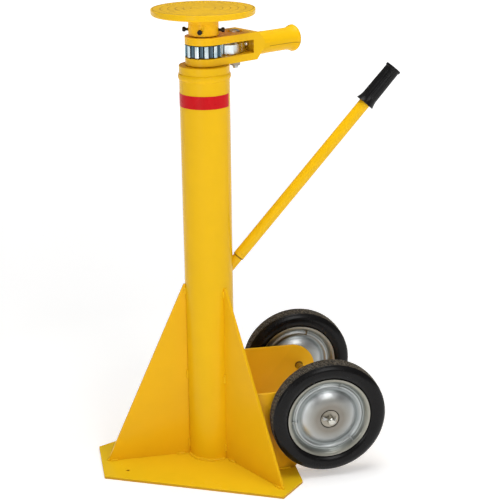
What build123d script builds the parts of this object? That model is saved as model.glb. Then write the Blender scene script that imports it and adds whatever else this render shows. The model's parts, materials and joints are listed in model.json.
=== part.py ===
from build123d import *

import math
import os

# Wheeled stabilising jack stand with a ratchet-driven lift screw and a free-spinning top pad.
# Frame: X is the wheel axle, +Y is the rear (wheels and tow handle), +Z is up.
# The origin is on the column's axis, at the floor. All sizes are in millimetres.

# ---- driving dimensions ----------------------------------------------------------------
LOWERED_HEIGHT = 1003.0
LIFT_TRAVEL = 292.1
FIT = 0.05                      # radial clearance of every shaft, bolt and bore

PLATE = 6.35                    # quarter-inch plate: base, gussets and wheel brackets
FRONT_Y = -252.0                # base plate outline
FRONT_HALF = 68.0
SIDE_HALF = 235.0
SIDE_Y = 112.0
REAR_HALF = 180.0
REAR_Y = 167.0
ANCHOR_X = 54.0                 # two small holes behind the front edge
ANCHOR_Y = -199.0
ANCHOR_R = 3.5

COLUMN_R = 52.0
COLUMN_WALL = 6.35
COLLAR_BOTTOM = 867.0
COLLAR_TOP = 889.0
NUT_R = 30.0
NUT_BOTTOM = 809.0
BAND_BOTTOM = 806.0
BAND_TOP = 833.0
BAND_START = -108.0             # degrees from +X, seen from above
BAND_END = 58.0
BAND_THICK = 0.4

GUSSET_TOP = 415.0
GUSSET_REACH = 236.0
GUSSET_ANGLES = {"gusset_front": 270.0, "gusset_right": 30.0, "gusset_left": 150.0}

YOKE_ANGLE = 28.5               # the ratchet handle's heading at rest, from +Y towards -X
YOKE_BOTTOM = 890.5
YOKE_TOP = 947.5
YOKE_HALF = 38.6
SLOT_BOTTOM = 905.5
SLOT_TOP = 932.5
SLOT_END = 112.0
SLOT_END_R = 68.1
SOCKET_Z = 915.5
SOCKET_R = 23.7
SOCKET_START = 157.0
SOCKET_END = 245.0
SOCKET_MOUTH_R = 28.5
SOCKET_BORE_R = 17.5
SOCKET_BORE_START = 170.0
NOSE_TIP = 130.3                # how far the yoke's rounded end reaches along the handle

GEAR_R = 39.0
GEAR_TEETH = 12
GEAR_BOTTOM = 907.5
GEAR_TOP = 931.0
FLUTE_R = 6.2
PAWL_PIVOT = 81.5
PAWL_BOTTOM = 906.5
PAWL_TOP = 926.0
PAWL_BOSS_R = 20.5
PAWL_BOLT_R = 6.0
PLUNGER_Z = 918.0
PLUNGER_R = 8.5
PLUNGER_TIP = 102.4

SCREW_R = 19.0
SCREW_BOTTOM = 516.0
JOURNAL_R = 17.0
SPIGOT_R = 15.0
SPIGOT_TOP = 983.0
GROOVE_R = 12.0
STOP_R = 28.0

PAD_R = 105.5
PAD_THICK = 12.7
HUB_R = 31.0
HUB_BOTTOM = 949.5
HUB_SCREW_Z = 960.0
HUB_SCREW_ANGLE = -20.0

AXLE_Y = 230.0
AXLE_Z = 141.0
AXLE_R = 8.0
AXLE_HALF = 182.0
BRACKET_INNER = 114.6
BRACKET_TOP = 193.0
BRACKET_NOSE_Y = 211.0
BRACKET_NOSE_R = 56.0
WHEEL_X = 146.0
WHEEL_R = 126.0
HUB_TUBE_R = 23.0
HUB_TUBE_HALF = 17.0
DISC_HOLE_R = 20.9
BUSH_R = 10.5

TOW_ANGLE = 49.4                # elevation of the tow handle
TOW_Y = 65.8                    # centre of the bar's lower end
TOW_Z = 468.9
TOW_LENGTH = 520.0
TOW_R = 12.6
TOW_STUB_R = 11.0
TOW_STUB_WALL = 2.5
GRIP_LENGTH = 96.0

UP = (Align.CENTER, Align.CENTER, Align.MIN)


# ---- shared helpers --------------------------------------------------------------------
def rod(radius, low, high):
    """A vertical cylinder from one height to another."""
    return Pos(0, 0, low) * Cylinder(radius, high - low, align=UP)


def ring(outer, inner, low, high):
    return rod(outer, low, high) - rod(inner, low - 1, high + 1)


def rod_x(radius, x_low, x_high, y, z):
    """A cylinder along X."""
    return Pos(x_low, y, z) * Rot(0, 90, 0) * Cylinder(radius, x_high - x_low, align=UP)


def block(x_range, y_range, z_range):
    size = [high - low for low, high in (x_range, y_range, z_range)]
    centre = [(high + low) / 2 for low, high in (x_range, y_range, z_range)]
    return Pos(*centre) * Box(*size)


def turned(edges):
    """A solid turned about Z from a closed outline of edges in the XZ plane."""
    return revolve(make_face(edges), Axis.Z)


def turned_x(edges):
    """A solid turned about X from a closed outline drawn in the XY plane."""
    return revolve(make_face(edges), Axis.X)


def outline(*points):
    """Straight edges through the points and back to the first."""
    return [Line(a, b) for a, b in zip(points, points[1:] + points[:1])]


def hexagon(across_flats, low, high):
    shape = RegularPolygon(across_flats / 2, 6, major_radius=False)
    return Pos(0, 0, low) * extrude(shape, high - low)


def save(node, *solids):
    """Write one node, from one solid or from a group of separate ones."""
    shapes = []
    for solid in solids:
        shapes.extend(solid.solids())
    shape = shapes[0] if len(shapes) == 1 else Compound(children=shapes)
    export_step(shape, f"parts/{node}.step")


os.makedirs("parts", exist_ok=True)


# ---- base plate ------------------------------------------------------------------------
base_corners = [
    (-FRONT_HALF, FRONT_Y),
    (FRONT_HALF, FRONT_Y),
    (SIDE_HALF, SIDE_Y),
    (REAR_HALF, REAR_Y),
    (-REAR_HALF, REAR_Y),
    (-SIDE_HALF, SIDE_Y),
]
base_plate = extrude(make_face(outline(*base_corners)), PLATE)
for side in (-1, 1):
    base_plate -= Pos(side * ANCHOR_X, ANCHOR_Y, -1) * Cylinder(ANCHOR_R, PLATE + 2, align=UP)
save("base_plate", base_plate)


# ---- column, collar and lift nut -------------------------------------------------------
column_tube = ring(COLUMN_R, COLUMN_R - COLUMN_WALL, PLATE, COLLAR_BOTTOM)
save("column_tube", column_tube)

column_collar = ring(COLUMN_R, NUT_R + FIT, COLLAR_BOTTOM, COLLAR_TOP)
save("column_collar", chamfer(column_collar.edges().group_by(Axis.Z)[-1][-1], 1.0))

save("lift_nut", ring(NUT_R, SCREW_R + FIT, NUT_BOTTOM, COLLAR_TOP))

BEAD_HALF = 6.5
BEAD_CROWN = 2.4
collar_weld = turned([
    Line((COLUMN_R, 0, COLLAR_BOTTOM + BEAD_HALF), (COLUMN_R, 0, COLLAR_BOTTOM - BEAD_HALF)),
    ThreePointArc(
        (COLUMN_R, 0, COLLAR_BOTTOM - BEAD_HALF),
        (COLUMN_R + BEAD_CROWN, 0, COLLAR_BOTTOM),
        (COLUMN_R, 0, COLLAR_BOTTOM + BEAD_HALF),
    ),
])
save("collar_weld", collar_weld)

band_section = make_face(outline(
    (COLUMN_R, 0, BAND_BOTTOM),
    (COLUMN_R + BAND_THICK, 0, BAND_BOTTOM),
    (COLUMN_R + BAND_THICK, 0, BAND_TOP),
    (COLUMN_R, 0, BAND_TOP),
))
reflective_band = Rot(0, 0, BAND_START) * revolve(band_section, Axis.Z, BAND_END - BAND_START)
save("reflective_band", reflective_band)


# ---- gussets and their welds -----------------------------------------------------------
def gusset_blank():
    """A gusset along +X, from inside the column's wall out to its toe."""
    plate = make_face(outline(
        (COLUMN_R - 4, 0, PLATE),
        (GUSSET_REACH, 0, PLATE),
        (GUSSET_REACH, 0, PLATE + 4),
        (COLUMN_R + 4, 0, GUSSET_TOP),
        (COLUMN_R - 4, 0, GUSSET_TOP),
    ))
    return extrude(plate, PLATE / 2, both=True) - rod(COLUMN_R, 0, GUSSET_TOP + 1)


gusset = gusset_blank()
gussets = {}
for node, heading in GUSSET_ANGLES.items():
    gussets[node] = Rot(0, 0, heading) * gusset
    save(node, gussets[node])

WELD = 4.0                      # leg of every fillet weld
corner = PLATE / 2 + 0.2


def stitch_up(low, high):
    """Vertical fillet welds on both sides of a gusset, against the column."""
    beads = []
    reach = math.sqrt(COLUMN_R ** 2 - corner ** 2)
    for side in (-1, 1):
        bead = Pos(reach, side * corner, 0) * rod(WELD, low, high)
        bead -= rod(COLUMN_R, low - 1, high + 1)
        beads += [s for s in (bead - gusset).solids() if s.center().Y * side > 0]
    return beads


def stitch_out(start, end):
    """Fillet welds on both sides of a gusset's foot, on the base plate."""
    beads = []
    for side in (-1, 1):
        bead = rod_x(WELD, start, end, side * corner, PLATE)
        bead -= block((start - 1, end + 1), (-30, 30), (-10, PLATE))
        beads += [s for s in (bead - gusset).solids() if s.center().Y * side > 0]
    return beads


one_gusset = stitch_up(392, 408) + stitch_up(190, 214) + stitch_up(22, 44)
one_gusset += stitch_out(214, 234) + stitch_out(62, 84)
gusset_welds = []
for heading in GUSSET_ANGLES.values():
    gusset_welds += [Rot(0, 0, heading) * bead for bead in one_gusset]
save("gusset_welds", *gusset_welds)

foot_weld = turned(outline(
    (COLUMN_R, 0, PLATE),
    (COLUMN_R + WELD + 1, 0, PLATE),
    (COLUMN_R, 0, PLATE + WELD + 2),
))
for heading in GUSSET_ANGLES.values():
    foot_weld -= Rot(0, 0, heading) * block((0, 80), (-corner - WELD, corner + WELD), (0, 40))
save("foot_weld", foot_weld)


# ---- wheel brackets --------------------------------------------------------------------
def bracket(side):
    """One wheel bracket: a plate across X, welded to the base and to the gusset in front."""
    nose_z = BRACKET_TOP - BRACKET_NOSE_R
    below = math.radians(-35)
    nose_end = (
        BRACKET_NOSE_Y + BRACKET_NOSE_R * math.cos(below),
        nose_z + BRACKET_NOSE_R * math.sin(below),
    )
    face = make_face([
        Line((0, 0, BRACKET_TOP), (0, BRACKET_NOSE_Y, BRACKET_TOP)),
        ThreePointArc(
            (0, BRACKET_NOSE_Y, BRACKET_TOP),
            (0, BRACKET_NOSE_Y + BRACKET_NOSE_R, nose_z),
            (0, *nose_end),
        ),
        Line((0, *nose_end), (0, REAR_Y - 6, PLATE)),
        Line((0, REAR_Y - 6, PLATE), (0, 0, PLATE)),
        Line((0, 0, PLATE), (0, 0, BRACKET_TOP)),
    ])
    plate = Pos(side * (BRACKET_INNER + PLATE / 2), 0, 0) * extrude(face, PLATE / 2, both=True)
    plate -= rod_x(AXLE_R + FIT, -200, 200, AXLE_Y, AXLE_Z)
    in_front = block((-50, 400), (-400, PLATE / 2), (-10, 300))
    if side < 0:
        in_front = block((-50, 400), (-PLATE / 2, 400), (-10, 300))
    heading = GUSSET_ANGLES["gusset_right" if side > 0 else "gusset_left"]
    return plate - Rot(0, 0, heading) * in_front


def bracket_foot_welds(side):
    beads = []
    for face_x in (BRACKET_INNER, BRACKET_INNER + PLATE):
        bead = Pos(side * face_x, 85, PLATE) * Rot(-90, 0, 0) * Cylinder(WELD, 70, align=UP)
        bead -= block((-300, 300), (0, 300), (-10, PLATE))
        bead -= block(
            sorted((side * BRACKET_INNER, side * (BRACKET_INNER + PLATE))), (0, 300), (0, 30)
        )
        beads.append(bead)
    return beads


save("wheel_bracket_right", bracket(1))
save("wheel_bracket_left", bracket(-1))
save("bracket_welds", *bracket_foot_welds(1), *bracket_foot_welds(-1))


# ---- axle and its fasteners ------------------------------------------------------------
COTTER_X = 170.0
COTTER_R = 2.0
WASHER_R = 19.2
SPACER_R = 13.0
hub_face = WHEEL_X + HUB_TUBE_HALF
hub_back = WHEEL_X - HUB_TUBE_HALF
axle = rod_x(AXLE_R, -AXLE_HALF, AXLE_HALF, AXLE_Y, AXLE_Z)
axle = fillet(axle.edges().filter_by(GeomType.CIRCLE), 4.0)
cotter_pins = []
for side in (-1, 1):
    here = Pos(side * COTTER_X, AXLE_Y, AXLE_Z) * Rot(-15, 0, 0)
    axle -= here * Cylinder(COTTER_R + FIT, 40, rotation=(90, 0, 0))
    shank = Cylinder(COTTER_R, 26, rotation=(90, 0, 0))
    eye = Pos(0, -15, 0) * Torus(3.2, 1.4, rotation=(0, 90, 0))
    cotter_pins.append(here * (shank + eye))
save("axle", axle)
save("cotter_pins", *cotter_pins)

axle_room = rod_x(AXLE_R + FIT, -200, 200, AXLE_Y, AXLE_Z)


def collars(radius, low, high):
    """The same round collar on the axle at both ends."""
    ends = [sorted((side * low, side * high)) for side in (-1, 1)]
    return [rod_x(radius, *span, AXLE_Y, AXLE_Z) - axle_room for span in ends]


save("axle_washers", *collars(WASHER_R, hub_face + 0.3, hub_face + 2.3))
save("axle_spacers", *collars(SPACER_R, BRACKET_INNER + PLATE + 0.3, hub_back - 0.3))


# ---- wheels, drawn as half sections: X along the axle, Y the radius --------------------
TYRE_BORE = 86.0
RIM_LIP_R = 91.4
DISC_THICK = 2.4


def tyre_outline():
    bead = 14.4
    right = [
        Line((-bead, TYRE_BORE), (bead, TYRE_BORE)),
        Line((bead, TYRE_BORE), (bead, 92.6)),
        ThreePointArc((bead, 92.6), (21.6, 106), (17.6, 120.5)),
        ThreePointArc((17.6, 120.5), (15.0, 124.0), (10.5, 125.4)),
        ThreePointArc((10.5, 125.4), (0, WHEEL_R), (-10.5, 125.4)),
    ]
    left = [
        ThreePointArc((-10.5, 125.4), (-15.0, 124.0), (-17.6, 120.5)),
        ThreePointArc((-17.6, 120.5), (-21.6, 106), (-bead, 92.6)),
        Line((-bead, 92.6), (-bead, TYRE_BORE)),
    ]
    return right + left


def disc_outline():
    """Half of the pressed wheel: dome, groove and flange, with the bed that holds the tyre."""
    t = DISC_THICK
    return [
        Line((20 - t, DISC_HOLE_R), (20, DISC_HOLE_R)),
        ThreePointArc((20, DISC_HOLE_R), (16.6, 47), (7, 70)),
        ThreePointArc((7, 70), (6, 74.5), (8.5, 78)),
        Line((8.5, 78), (15, 84.5)),
        Line((15, 84.5), (17.4, RIM_LIP_R)),
        Line((17.4, RIM_LIP_R), (14.8, RIM_LIP_R)),
        Line((14.8, RIM_LIP_R), (14.8, TYRE_BORE - 0.1)),
        Line((14.8, TYRE_BORE - 0.1), (0.1, TYRE_BORE - 0.1)),
        Line((0.1, TYRE_BORE - 0.1), (0.1, TYRE_BORE - t)),
        Line((0.1, TYRE_BORE - t), (11.4, TYRE_BORE - t)),
        Line((11.4, TYRE_BORE - t), (8.5 - t, 80)),
        ThreePointArc((8.5 - t, 80), (6 - t, 75), (7 - t, 69)),
        ThreePointArc((7 - t, 69), (16.6 - t, 45.5), (20 - t, DISC_HOLE_R)),
    ]


def half_turn(shape):
    return Rot(0, 0, 180) * shape


tyre = turned_x(tyre_outline())
disc = turned_x(disc_outline())
hub_tube = rod_x(HUB_TUBE_R, -HUB_TUBE_HALF, HUB_TUBE_HALF, 0, 0)
hub_tube -= rod_x(BUSH_R + FIT, -40, 40, 0, 0)
bush = rod_x(BUSH_R, 6, HUB_TUBE_HALF, 0, 0) - rod_x(AXLE_R + FIT, 0, 40, 0, 0)

for name, side in (("right", 1), ("left", -1)):
    at = Pos(side * WHEEL_X, AXLE_Y, AXLE_Z)
    outward = at if side > 0 else at * Rot(0, 0, 180)
    save(f"tyre_{name}", at * tyre)
    save(f"wheel_disc_outer_{name}", outward * disc)
    save(f"wheel_disc_inner_{name}", outward * half_turn(disc))
    save(f"wheel_hub_{name}", at * hub_tube)
    save(f"wheel_bushes_{name}", at * bush, at * half_turn(bush))


# ---- tow handle, built along +Z and then leaned back -----------------------------------
tow_place = Pos(0, TOW_Y, TOW_Z) * Rot(TOW_ANGLE - 90, 0, 0)
stub = ring(TOW_STUB_R, TOW_STUB_R - TOW_STUB_WALL, -60, 75)
save("tow_stub", max((tow_place * stub - rod(COLUMN_R, 300, 600)).solids(), key=lambda s: s.volume))

save("tow_bar", tow_place * ring(TOW_R, TOW_STUB_R + FIT, 0, TOW_LENGTH - 6))

grip_start = TOW_LENGTH - GRIP_LENGTH
grip = turned([
    Line((0, 0, TOW_LENGTH), (18, 0, TOW_LENGTH)),
    Line((18, 0, TOW_LENGTH), (18, 0, TOW_LENGTH - 4)),
    Line((18, 0, TOW_LENGTH - 4), (16.2, 0, TOW_LENGTH - 6)),
    Line((16.2, 0, TOW_LENGTH - 6), (17.3, 0, grip_start + 20)),
    ThreePointArc((17.3, 0, grip_start + 20), (18.3, 0, grip_start + 9), (20.8, 0, grip_start + 3)),
    Line((20.8, 0, grip_start + 3), (20.8, 0, grip_start)),
    Line((20.8, 0, grip_start), (TOW_R + FIT, 0, grip_start)),
    Line((TOW_R + FIT, 0, grip_start), (TOW_R + FIT, 0, TOW_LENGTH - 6)),
    Line((TOW_R + FIT, 0, TOW_LENGTH - 6), (0, 0, TOW_LENGTH - 6)),
    Line((0, 0, TOW_LENGTH - 6), (0, 0, TOW_LENGTH)),
])
save("tow_grip", tow_place * grip)


# ---- lift screw, turned in one piece, with its gear, key and stop ----------------------
KEY_LOW = 909.0
KEY_HIGH = 929.0
KEY_WIDTH = 8.0
STOP_THICK = 6.0
STOP_BOLT_R = 5.0
to_heading = Rot(0, 0, YOKE_ANGLE)

screw = turned(outline(
    (0, 0, SCREW_BOTTOM),
    (SCREW_R - 2, 0, SCREW_BOTTOM),
    (SCREW_R, 0, SCREW_BOTTOM + 2),
    (SCREW_R, 0, GEAR_BOTTOM),
    (JOURNAL_R, 0, GEAR_BOTTOM),
    (JOURNAL_R, 0, YOKE_TOP + 0.5),
    (SPIGOT_R, 0, YOKE_TOP + 0.5),
    (SPIGOT_R, 0, HUB_SCREW_Z - 4.5),
    (GROOVE_R, 0, HUB_SCREW_Z - 4.5),
    (GROOVE_R, 0, HUB_SCREW_Z + 4.5),
    (SPIGOT_R, 0, HUB_SCREW_Z + 4.5),
    (SPIGOT_R, 0, SPIGOT_TOP),
    (0, 0, SPIGOT_TOP),
))
screw -= block((-KEY_WIDTH / 2, KEY_WIDTH / 2), (-20.5, -13), (KEY_LOW, KEY_HIGH))
screw -= rod(STOP_BOLT_R + FIT, SCREW_BOTTOM - 1, SCREW_BOTTOM + 26)
save("lift_screw", to_heading * screw)

key = block(
    (-KEY_WIDTH / 2 + FIT, KEY_WIDTH / 2 - FIT), (-20.4, -13.1), (KEY_LOW + 0.1, KEY_HIGH - 0.1)
)
save("gear_key", to_heading * key)

gear = ring(GEAR_R, JOURNAL_R + FIT, GEAR_BOTTOM, GEAR_TOP)
for tooth in range(GEAR_TEETH):
    angle = math.radians(90 + (tooth + 0.5) * 360 / GEAR_TEETH)
    gear -= Pos(GEAR_R * math.cos(angle), GEAR_R * math.sin(angle), 0) * rod(
        FLUTE_R, GEAR_BOTTOM - 1, GEAR_TOP + 1
    )
gear -= block((-KEY_WIDTH / 2, KEY_WIDTH / 2), (-20.5, -10), (GEAR_BOTTOM - 1, GEAR_TOP + 1))
save("ratchet_gear", to_heading * gear)

stop_washer = ring(STOP_R, STOP_BOLT_R + FIT, SCREW_BOTTOM - STOP_THICK, SCREW_BOTTOM)
save("stop_washer", stop_washer)
stop_bolt = rod(STOP_BOLT_R, SCREW_BOTTOM - STOP_THICK, SCREW_BOTTOM + 24)
stop_bolt += hexagon(16, SCREW_BOTTOM - STOP_THICK - 6.5, SCREW_BOTTOM - STOP_THICK)
save("stop_bolt", stop_bolt)


# ---- ratchet yoke, built with its handle along +Y and then swung to its heading --------
def save_on_yoke(node, *solids):
    save(node, *[to_heading * solid for solid in solids])


plan = rod(YOKE_HALF, YOKE_BOTTOM, YOKE_TOP)
plan += block((-YOKE_HALF, YOKE_HALF), (0, NOSE_TIP), (YOKE_BOTTOM, YOKE_TOP))
nose = make_face([
    Line((-60, -60, YOKE_BOTTOM), (-60, 109.7, YOKE_BOTTOM)),
    Line((-60, 109.7, YOKE_BOTTOM), (-60, 123.5, 907.5)),
    ThreePointArc((-60, 123.5, 907.5), (-60, NOSE_TIP, 920.5), (-60, 124.5, 933.8)),
    Line((-60, 124.5, 933.8), (-60, 113.6, YOKE_TOP)),
    Line((-60, 113.6, YOKE_TOP), (-60, -60, YOKE_TOP)),
    Line((-60, -60, YOKE_TOP), (-60, -60, YOKE_BOTTOM)),
])
yoke = plan & extrude(nose, 120, dir=(1, 0, 0))
socket_axis = Pos(0, 0, SOCKET_Z) * Rot(-90, 0, 0)
yoke += socket_axis * rod(SOCKET_R, 110, SOCKET_START)
slot = block((-60, 60), (-60, SLOT_END), (SLOT_BOTTOM, SLOT_TOP))
slot &= Pos(0, SLOT_END - SLOT_END_R, 0) * rod(SLOT_END_R, SLOT_BOTTOM, SLOT_TOP) + block(
    (-60, 60), (-61, SLOT_END - SLOT_END_R), (SLOT_BOTTOM, SLOT_TOP)
)
yoke -= slot
yoke -= rod(SCREW_R + FIT, YOKE_BOTTOM - 1, SLOT_BOTTOM + 1)
yoke -= rod(JOURNAL_R + FIT, SLOT_TOP - 1, YOKE_TOP + 1)
BOLT_SEAT = YOKE_TOP - 5
pawl_axis = Pos(0, PAWL_PIVOT, 0)
yoke -= pawl_axis * rod(PAWL_BOLT_R + FIT, YOKE_BOTTOM - 1, YOKE_TOP + 1)
yoke -= pawl_axis * rod(16.5, BOLT_SEAT, YOKE_TOP + 1)
PLUNGER_BORE_END = 141.0
plunger_axis = Pos(0, 0, PLUNGER_Z) * Rot(-90, 0, 0)
yoke -= plunger_axis * rod(PLUNGER_R + FIT, SLOT_END - 3, PLUNGER_BORE_END)
save_on_yoke("ratchet_yoke", yoke)

FLARE_START = 219.0
mouth = SOCKET_MOUTH_R
profile = make_face([
    Line((0, SOCKET_START, SOCKET_Z), (SOCKET_R, SOCKET_START, SOCKET_Z)),
    Line((SOCKET_R, SOCKET_START, SOCKET_Z), (SOCKET_R, FLARE_START, SOCKET_Z)),
    ThreePointArc(
        (SOCKET_R, FLARE_START, SOCKET_Z),
        (SOCKET_R + 1.4, FLARE_START + 10, SOCKET_Z),
        (mouth - 1, SOCKET_END - 9, SOCKET_Z),
    ),
    ThreePointArc(
        (mouth - 1, SOCKET_END - 9, SOCKET_Z),
        (mouth, SOCKET_END - 4.5, SOCKET_Z),
        (mouth - 3, SOCKET_END, SOCKET_Z),
    ),
    Line((mouth - 3, SOCKET_END, SOCKET_Z), (0, SOCKET_END, SOCKET_Z)),
    Line((0, SOCKET_END, SOCKET_Z), (0, SOCKET_START, SOCKET_Z)),
])
lever_socket = revolve(profile, Axis((0, 0, SOCKET_Z), (0, 1, 0)))
lever_socket -= socket_axis * rod(SOCKET_BORE_R, SOCKET_BORE_START, SOCKET_END + 1)
save_on_yoke("lever_socket", lever_socket)

bolt = rod(PAWL_BOLT_R, YOKE_BOTTOM - 19, BOLT_SEAT) + hexagon(19, BOLT_SEAT, BOLT_SEAT + 7.5)
save_on_yoke("pawl_bolt", pawl_axis * bolt)
bolt_washer = ring(12, PAWL_BOLT_R + FIT, YOKE_BOTTOM - 2.5, YOKE_BOTTOM)
save_on_yoke("pawl_bolt_washer", pawl_axis * bolt_washer)
bolt_nut = hexagon(19, YOKE_BOTTOM - 13.3, YOKE_BOTTOM - 2.5)
bolt_nut -= rod(PAWL_BOLT_R + FIT, YOKE_BOTTOM - 20, YOKE_BOTTOM)
save_on_yoke("pawl_bolt_nut", pawl_axis * bolt_nut)


# ---- reversible pawl and the plunger that holds it -------------------------------------
TOE_X = 19.5
TOE_Y = 37.4
pawl_plan = make_face(outline(
    (TOE_X, TOE_Y),
    (30.5, 52.5),
    (26.5, 69),
    (20.4, PAWL_PIVOT),
    (-20.4, PAWL_PIVOT),
    (-26.5, 69),
    (-30.5, 52.5),
    (-TOE_X, TOE_Y),
    (-11, 43),
    (11, 43),
))
pawl = Pos(0, 0, PAWL_BOTTOM) * extrude(pawl_plan, PAWL_TOP - PAWL_BOTTOM)
pawl += pawl_axis * rod(PAWL_BOSS_R, PAWL_BOTTOM, PAWL_TOP)
pawl -= pawl_axis * rod(PAWL_BOLT_R + FIT, PAWL_BOTTOM - 1, PAWL_TOP + 1)
save_on_yoke("ratchet_pawl", pawl)

PLUNGER_END = 128.0
plunger = plunger_axis * rod(PLUNGER_R, PLUNGER_TIP + PLUNGER_R, PLUNGER_END)
plunger += Pos(0, PLUNGER_TIP + PLUNGER_R, PLUNGER_Z) * Sphere(PLUNGER_R)
plunger -= plunger_axis * rod(5.6, PLUNGER_TIP + PLUNGER_R, PLUNGER_END + 1)
save_on_yoke("pawl_plunger", plunger)

spring_pitch = 4.0
spring_start = 115.0
spring_height = PLUNGER_BORE_END - 1.1 - spring_start
coil = Helix(pitch=spring_pitch, height=spring_height, radius=4.3)
wire = Plane(origin=coil @ 0, z_dir=coil % 0) * Circle(0.9)
spring = Pos(0, spring_start, PLUNGER_Z) * Rot(-90, 0, 0) * sweep(wire, path=coil)
save_on_yoke("plunger_spring", spring)


# ---- spin top: pad and hub in one casting, on a thrust washer --------------------------
PAD_BOTTOM = LOWERED_HEIGHT - PAD_THICK
BORE_TOP = 986.0
pad = turned([
    Line((0, 0, BORE_TOP), (SPIGOT_R + FIT, 0, BORE_TOP)),
    Line((SPIGOT_R + FIT, 0, BORE_TOP), (SPIGOT_R + FIT, 0, HUB_BOTTOM)),
    Line((SPIGOT_R + FIT, 0, HUB_BOTTOM), (HUB_R, 0, HUB_BOTTOM)),
    Line((HUB_R, 0, HUB_BOTTOM), (HUB_R, 0, 976)),
    ThreePointArc((HUB_R, 0, 976), (HUB_R + 1.2, 0, 984), (HUB_R + 5, 0, PAD_BOTTOM)),
    Line((HUB_R + 5, 0, PAD_BOTTOM), (PAD_R - 5, 0, PAD_BOTTOM)),
    ThreePointArc(
        (PAD_R - 5, 0, PAD_BOTTOM),
        (PAD_R - 1.3, 0, PAD_BOTTOM + 1.2),
        (PAD_R, 0, PAD_BOTTOM + 4),
    ),
    Line((PAD_R, 0, PAD_BOTTOM + 4), (PAD_R, 0, LOWERED_HEIGHT - 1.5)),
    Line((PAD_R, 0, LOWERED_HEIGHT - 1.5), (PAD_R - 1.5, 0, LOWERED_HEIGHT)),
    Line((PAD_R - 1.5, 0, LOWERED_HEIGHT), (0, 0, LOWERED_HEIGHT)),
    Line((0, 0, LOWERED_HEIGHT), (0, 0, BORE_TOP)),
])
RING_DEPTH = 0.8
for groove in range(5):
    middle = 25 + 15.3 * groove
    pad -= ring(middle + 1.2, middle - 1.2, LOWERED_HEIGHT - RING_DEPTH, LOWERED_HEIGHT)

hub_screws = []
for quarter in range(4):
    here = Pos(0, 0, HUB_SCREW_Z) * Rot(0, 0, HUB_SCREW_ANGLE + 90 * quarter) * Rot(0, 90, 0)
    pad -= here * rod(3 + FIT, SPIGOT_R - 2, HUB_R + 2)
    head = here * rod(3, GROOVE_R + 0.6, 38) + here * rod(5, 37, 43)
    hub_screws.append(head - here * hexagon(5, 40, 44))
save("spin_top_pad", pad)
save("hub_screws", *hub_screws)

save("thrust_washer", rod(SPIGOT_R - 0.3, SPIGOT_TOP + FIT, BORE_TOP - FIT))
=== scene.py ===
"""The looks of a wheeled ratchet jack stand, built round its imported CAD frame.

Each piece called NODE.look stands in for one CAD node and rides on that node's body. Shapes are
made in millimetres, and stand_in() turns them into metres.
"""
import json
import math
import random

import bmesh
import bpy
from mathutils import Matrix, Vector


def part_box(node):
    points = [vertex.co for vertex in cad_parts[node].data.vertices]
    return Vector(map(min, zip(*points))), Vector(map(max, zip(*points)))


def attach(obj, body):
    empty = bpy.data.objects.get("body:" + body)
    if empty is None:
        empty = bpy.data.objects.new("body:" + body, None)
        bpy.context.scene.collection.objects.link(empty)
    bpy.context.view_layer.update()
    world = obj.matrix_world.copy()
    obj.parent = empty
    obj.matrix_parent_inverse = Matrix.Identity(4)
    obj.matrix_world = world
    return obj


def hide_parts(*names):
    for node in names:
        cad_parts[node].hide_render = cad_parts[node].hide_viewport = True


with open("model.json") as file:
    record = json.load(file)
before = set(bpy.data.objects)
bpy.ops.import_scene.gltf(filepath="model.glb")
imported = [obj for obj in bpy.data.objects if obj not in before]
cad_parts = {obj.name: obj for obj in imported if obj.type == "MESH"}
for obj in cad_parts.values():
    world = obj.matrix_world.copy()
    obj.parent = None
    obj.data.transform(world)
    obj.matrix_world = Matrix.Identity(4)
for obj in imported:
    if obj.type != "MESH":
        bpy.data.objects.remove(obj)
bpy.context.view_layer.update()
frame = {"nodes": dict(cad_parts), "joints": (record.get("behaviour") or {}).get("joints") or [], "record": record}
nodes = frame["nodes"]
bodies = frame["record"]["behaviour"]["bodies"]
node_body = {node: body for body, members in bodies.items() for node in members}
node_slot = {part["node"]: part["material_slot"] for part in frame["record"]["subparts"]}
joints = {joint["name"]: joint for joint in frame["joints"]}

MM = 0.001
UP = Vector((0, 0, 1))
ACROSS_X, ACROSS_Z = (1, 2), (0, 1)  # the axes across the wheels' axle, and across the screw


# ---- shader nodes --------------------------------------------------------------------------
MIX_A, MIX_B, MIX_OUT = 6, 7, 2  # the colour sockets of Blender's Mix node


def new_material(name):
    mat = bpy.data.materials.new(name)
    mat.use_nodes = True
    tree = mat.node_tree
    shader = tree.nodes["Principled BSDF"]
    coords = tree.nodes.new("ShaderNodeTexCoord")
    return mat, tree, shader, coords.outputs["Object"]


def feed(tree, socket, value):
    """Sets a socket to a number or a colour, or links another node's output to it."""
    if isinstance(value, bpy.types.NodeSocket):
        tree.links.new(value, socket)
    elif isinstance(value, tuple):
        socket.default_value = (*value, 1.0)
    else:
        socket.default_value = value


def noise(tree, coords, scale, detail=3.0, rough=0.55, stretch=None):
    node = tree.nodes.new("ShaderNodeTexNoise")
    node.inputs["Scale"].default_value = scale
    node.inputs["Detail"].default_value = detail
    node.inputs["Roughness"].default_value = rough
    if stretch:
        mapping = tree.nodes.new("ShaderNodeMapping")
        mapping.inputs["Scale"].default_value = stretch
        tree.links.new(coords, mapping.inputs["Vector"])
        coords = mapping.outputs["Vector"]
    tree.links.new(coords, node.inputs["Vector"])
    return node.outputs["Fac"]


def remap(tree, value, low, high, new_low, new_high):
    node = tree.nodes.new("ShaderNodeMapRange")
    node.inputs["From Min"].default_value = low
    node.inputs["From Max"].default_value = high
    node.inputs["To Min"].default_value = new_low
    node.inputs["To Max"].default_value = new_high
    tree.links.new(value, node.inputs["Value"])
    return node.outputs["Result"]


def math_node(tree, operation, a, b=0.0):
    node = tree.nodes.new("ShaderNodeMath")
    node.operation = operation
    feed(tree, node.inputs[0], a)
    feed(tree, node.inputs[1], b)
    return node.outputs["Value"]


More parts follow.
